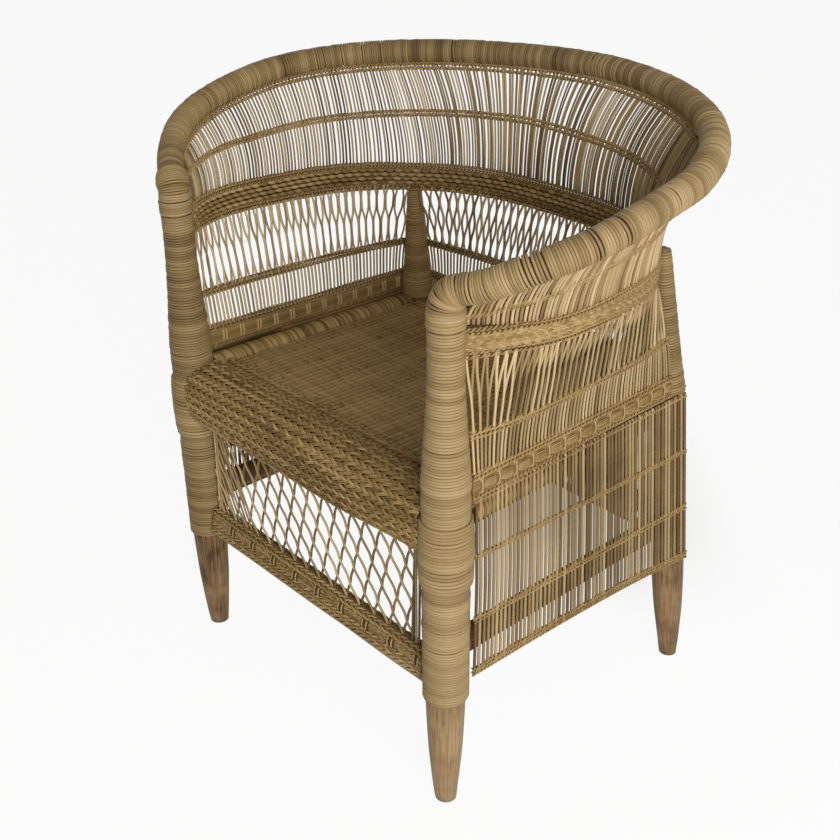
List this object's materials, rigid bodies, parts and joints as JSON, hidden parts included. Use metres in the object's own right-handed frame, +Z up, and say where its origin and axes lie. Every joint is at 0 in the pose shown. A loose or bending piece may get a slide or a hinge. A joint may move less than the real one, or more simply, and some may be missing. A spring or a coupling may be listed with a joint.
{
  "type": "woven cane tub armchair",
  "caption": "Low tub armchair with a wound hoop arm, flared stake back, woven cane seat and stake skirts round turned wooden posts.",
  "frame": {"origin": "middle of the chair's bounding box at floor level", "axes": "+Z up, the sitter faces -Y, +X to the sitter's left"},
  "size_m": [0.7114, 0.5182, 0.7515],
  "materials": {
    "post_cane": "split cane, satin",
    "leg_wood": "oiled wood, satin",
    "pole_cane": "peeled cane pole, satin",
    "rail_wood": "dark wood, satin",
    "hoop_cane": "split cane, satin",
    "seat_cane": "woven cane, satin",
    "band_cane": "plaited cane, satin",
    "stake_cane": "cane stakes, satin"
  },
  "bodies": {
    "root": {"back_leg_left": "leg_wood", "back_leg_right": "leg_wood", "back_leg_wrap_left": "post_cane", "back_leg_wrap_right": "post_cane", "back_screen": "stake_cane", "flare_back_left": "stake_cane", "flare_back_right": "stake_cane", "flare_left_front": "stake_cane", "flare_left_rear": "stake_cane", "flare_right_front": "stake_cane", "flare_right_rear": "stake_cane", "front_lattice": "stake_cane", "front_leg_left": "leg_wood", "front_leg_right": "leg_wood", "front_leg_wrap_left": "post_cane", "front_leg_wrap_right": "post_cane", "front_woven_band": "band_cane", "hoop_collar_left": "hoop_cane", "hoop_collar_right": "hoop_cane", "hoop_core": "rail_wood", "hoop_wrap": "hoop_cane", "joint_lashing_left": "hoop_cane", "joint_lashing_right": "hoop_cane", "ladder_band_back": "band_cane", "ladder_band_left": "band_cane", "ladder_band_right": "band_cane", "mid_band_back": "band_cane", "mid_band_left": "band_cane", "mid_band_right": "band_cane", "seat_back_roll": "seat_cane", "seat_deck": "seat_cane", "seat_edge_roll_left": "seat_cane", "seat_edge_roll_right": "seat_cane", "seat_front_roll": "seat_cane", "seat_rail_back": "rail_wood", "seat_rail_front": "rail_wood", "seat_rail_left": "rail_wood", "seat_rail_right": "rail_wood", "side_screen_left": "stake_cane", "side_screen_right": "stake_cane", "skirt_back": "stake_cane", "skirt_left": "stake_cane", "skirt_right": "stake_cane", "stretcher_back": "rail_wood", "stretcher_front": "pole_cane", "stretcher_left": "rail_wood", "stretcher_right": "rail_wood"}
  },
  "joints": []
}
